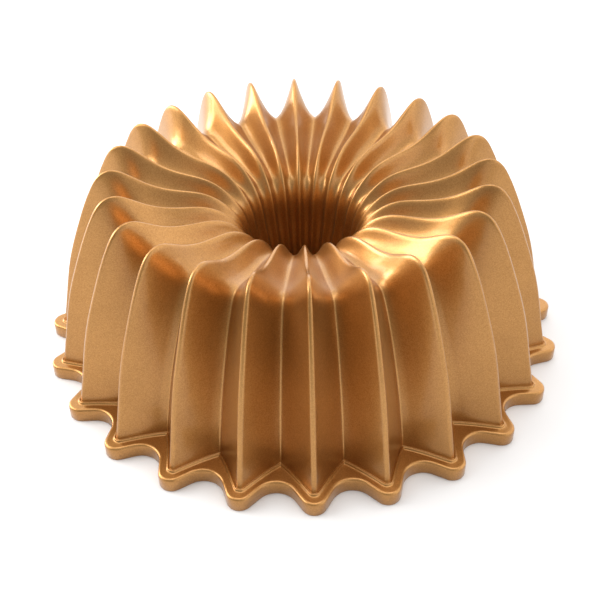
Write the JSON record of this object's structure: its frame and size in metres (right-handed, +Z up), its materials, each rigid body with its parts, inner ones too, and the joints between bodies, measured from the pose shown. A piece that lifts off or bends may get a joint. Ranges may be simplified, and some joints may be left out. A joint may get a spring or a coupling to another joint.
{
  "type": "bundt pan",
  "caption": "Deep fluted ring-cake pan in cast aluminium with a centre tube and a lobed rim flange, gold-enamelled outside and nonstick-lined inside, standing upside down on its rim.",
  "frame": {"origin": "on the axis of the centre tube, at the plane that the rim stands on when the pan is upside down", "axes": "+Z up along the tube's axis, from the open side towards the fluted crown; a ridge lies along +X, and another along -Y"},
  "size_m": [0.264, 0.264, 0.0976],
  "materials": {
    "cast_aluminium": "as cast, matt; machined flat at the rim's seat",
    "gold_enamel": "satin metallic gold with a fine sparkle",
    "nonstick": "satin bronze nonstick coating"
  },
  "bodies": {
    "root": {"cast_body": "cast_aluminium", "exterior_coat": "gold_enamel", "nonstick_lining": "nonstick"}
  },
  "joints": []
}
